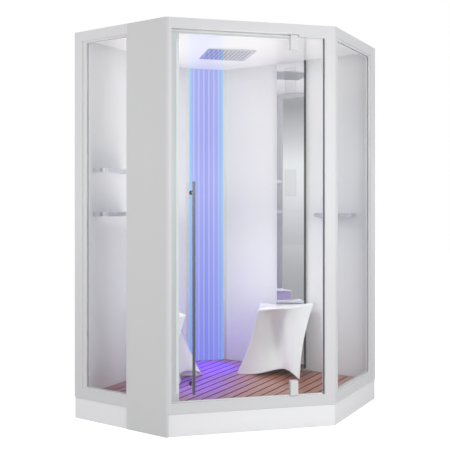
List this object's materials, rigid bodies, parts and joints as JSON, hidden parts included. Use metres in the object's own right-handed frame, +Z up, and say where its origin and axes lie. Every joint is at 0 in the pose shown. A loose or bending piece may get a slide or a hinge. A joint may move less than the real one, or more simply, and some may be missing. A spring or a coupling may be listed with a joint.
{
  "type": "shower cabin",
  "caption": "Five-sided corner shower and steam cabin: pivot glass door, fixed panes, service column, rain head, jet panel, light column, shelves, duckboard and stools.",
  "frame": {"origin": "middle of the square footprint at floor level, under the levelling foot in the tray's middle", "axes": "+Z up; the back wall is at +Y and the left wall at -X; the door crosses the corner between +X and -Y"},
  "size_m": [1.3, 1.3, 2.18],
  "materials": {
    "satin_aluminium": "satin anodised",
    "white_acrylic": "gloss sanitary acrylic",
    "wall_sheet": "satin laminated sheet",
    "column_lacquer": "satin lacquer",
    "clear_glass": "tempered, polished edges",
    "opal_diffuser": "translucent, fluted",
    "polished_steel": "fine polished",
    "polished_chrome": "mirror",
    "dark_chrome": "mirror, smoke grey",
    "satin_steel": "satin",
    "teak": "oiled",
    "dark_teak": "oiled",
    "grey_rubber": "matte",
    "black_plastic": "moulded",
    "clear_seal": "translucent",
    "zinc_steel": "galvanised",
    "valve_brass": "cast and machined",
    "circuit_board": "coated",
    "icon_lens": "clear over white",
    "frosted_acrylic": "frosted"
  },
  "bodies": {
    "cabin": {"tray": "white_acrylic", "tray_frame": "zinc_steel", "levelling_feet": "black_plastic", "plinth_panels": "white_acrylic", "drain_trap": "black_plastic", "drain_grate": "polished_chrome", "wall_back": "wall_sheet", "wall_left": "wall_sheet", "wall_studs": "zinc_steel", "ceiling": "white_acrylic", "roof_rails": "satin_aluminium", "post_left": "satin_aluminium", "post_column": "satin_aluminium", "post_corner": "satin_aluminium", "post_right": "satin_aluminium", "rail_left": "satin_aluminium", "rail_front": "satin_aluminium", "rail_right": "satin_aluminium", "beam_left": "satin_aluminium", "beam_front": "satin_aluminium", "beam_right": "satin_aluminium", "glass_left": "clear_glass", "glass_right": "clear_glass", "beads_left": "satin_aluminium", "beads_right": "satin_aluminium", "column_cover": "column_lacquer", "column_chassis": "column_lacquer", "touch_icons": "icon_lens", "control_board": "circuit_board", "steam_generator": "satin_steel", "steam_outlet": "polished_chrome", "mixing_valve": "valve_brass", "solenoid_valves": "black_plastic", "inlet_pipes": "valve_brass", "rain_pipe": "satin_steel", "jet_pipe": "satin_steel", "cable_gland": "black_plastic", "led_diffuser": "opal_diffuser", "led_trims": "satin_aluminium", "led_backplate": "zinc_steel", "led_strips": "icon_lens", "led_driver": "zinc_steel", "shower_panel": "polished_steel", "jet_chambers": "black_plastic", "jet_nozzles": "grey_rubber", "rain_head": "polished_chrome", "rain_nozzles": "grey_rubber", "shelf_rails": "polished_chrome", "shelf_plates": "frosted_acrylic", "pivot_pins": "satin_steel"},
    "door": {"door_glass": "clear_glass", "pivot_clamps": "satin_aluminium", "clamp_screws": "satin_steel", "handle_bar": "dark_chrome", "handle_rosettes": "dark_chrome", "door_seals": "clear_seal"},
    "duckboard": {"teak_slats": "teak", "teak_battens": "dark_teak"},
    "right_stool": {"stool_right": "white_acrylic"},
    "left_stool": {"stool_left": "white_acrylic"}
  },
  "joints": [
    {"name": "door_pivot", "type": "hinge", "parent": "cabin", "child": "door", "pos_m": [0.47225, -0.1423, 1.149], "axis": [0, 0, 1], "range_deg": [0, 90]},
    {"name": "duckboard_lift", "type": "slide", "parent": "cabin", "child": "duckboard", "axis": [0, 0, 1], "range_m": [0, 0.04]},
    {"name": "right_stool_lift", "type": "slide", "parent": "duckboard", "child": "right_stool", "axis": [0, 0, 1], "range_m": [0, 0.25]},
    {"name": "left_stool_lift", "type": "slide", "parent": "duckboard", "child": "left_stool", "axis": [0, 0, 1], "range_m": [0, 0.25]}
  ]
}
